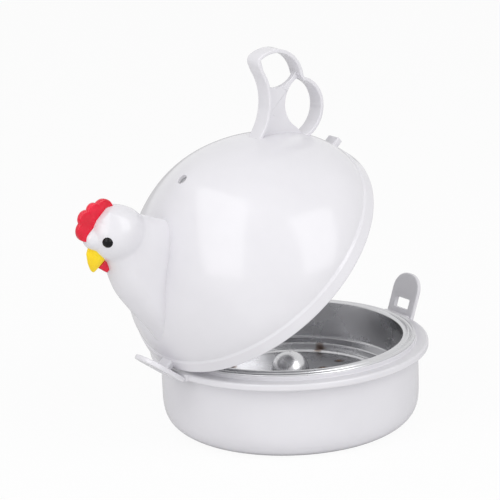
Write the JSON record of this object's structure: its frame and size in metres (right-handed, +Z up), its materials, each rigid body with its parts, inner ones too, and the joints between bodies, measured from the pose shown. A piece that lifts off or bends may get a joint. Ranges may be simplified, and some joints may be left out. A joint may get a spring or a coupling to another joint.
{
  "type": "microwave egg boiler",
  "caption": "Hen-shaped microwave egg boiler: a white cup with a pressed metal pan, and a domed hen lid hinged at the breast, shown standing open.",
  "frame": {"origin": "centre of the cup's flat underside", "axes": "+Z up, the hen's beak towards -Y, its tail handle towards +Y, +X its left side"},
  "size_m": [0.136, 0.1981, 0.1869],
  "materials": {
    "white_plastic": "gloss",
    "pan_metal": "satin",
    "red_plastic": "gloss",
    "yellow_plastic": "gloss",
    "black_plastic": "gloss"
  },
  "bodies": {
    "base": {"base_cup": "white_plastic", "egg_pan": "pan_metal"},
    "lid": {"front_clip": "white_plastic", "lid_shell": "white_plastic", "lid_liner": "pan_metal", "tail_handle": "white_plastic", "head": "white_plastic", "comb": "red_plastic", "beak": "yellow_plastic", "wattle": "red_plastic", "eye_left": "black_plastic", "eye_right": "black_plastic"},
    "latch": {"rear_clip": "white_plastic"}
  },
  "joints": [
    {"name": "lid_hinge", "type": "hinge", "parent": "base", "child": "lid", "pos_m": [0, -0.0702, 0.0385], "axis": [1, 0, 0], "range_deg": [-41.18, 63.8]},
    {"name": "rear_clip_hinge", "type": "hinge", "parent": "base", "child": "latch", "pos_m": [0, 0.0702, 0.0385], "axis": [-1, 0, 0], "range_deg": [-20, 70], "stiffness_Nm_per_rad": 0.01}
  ]
}
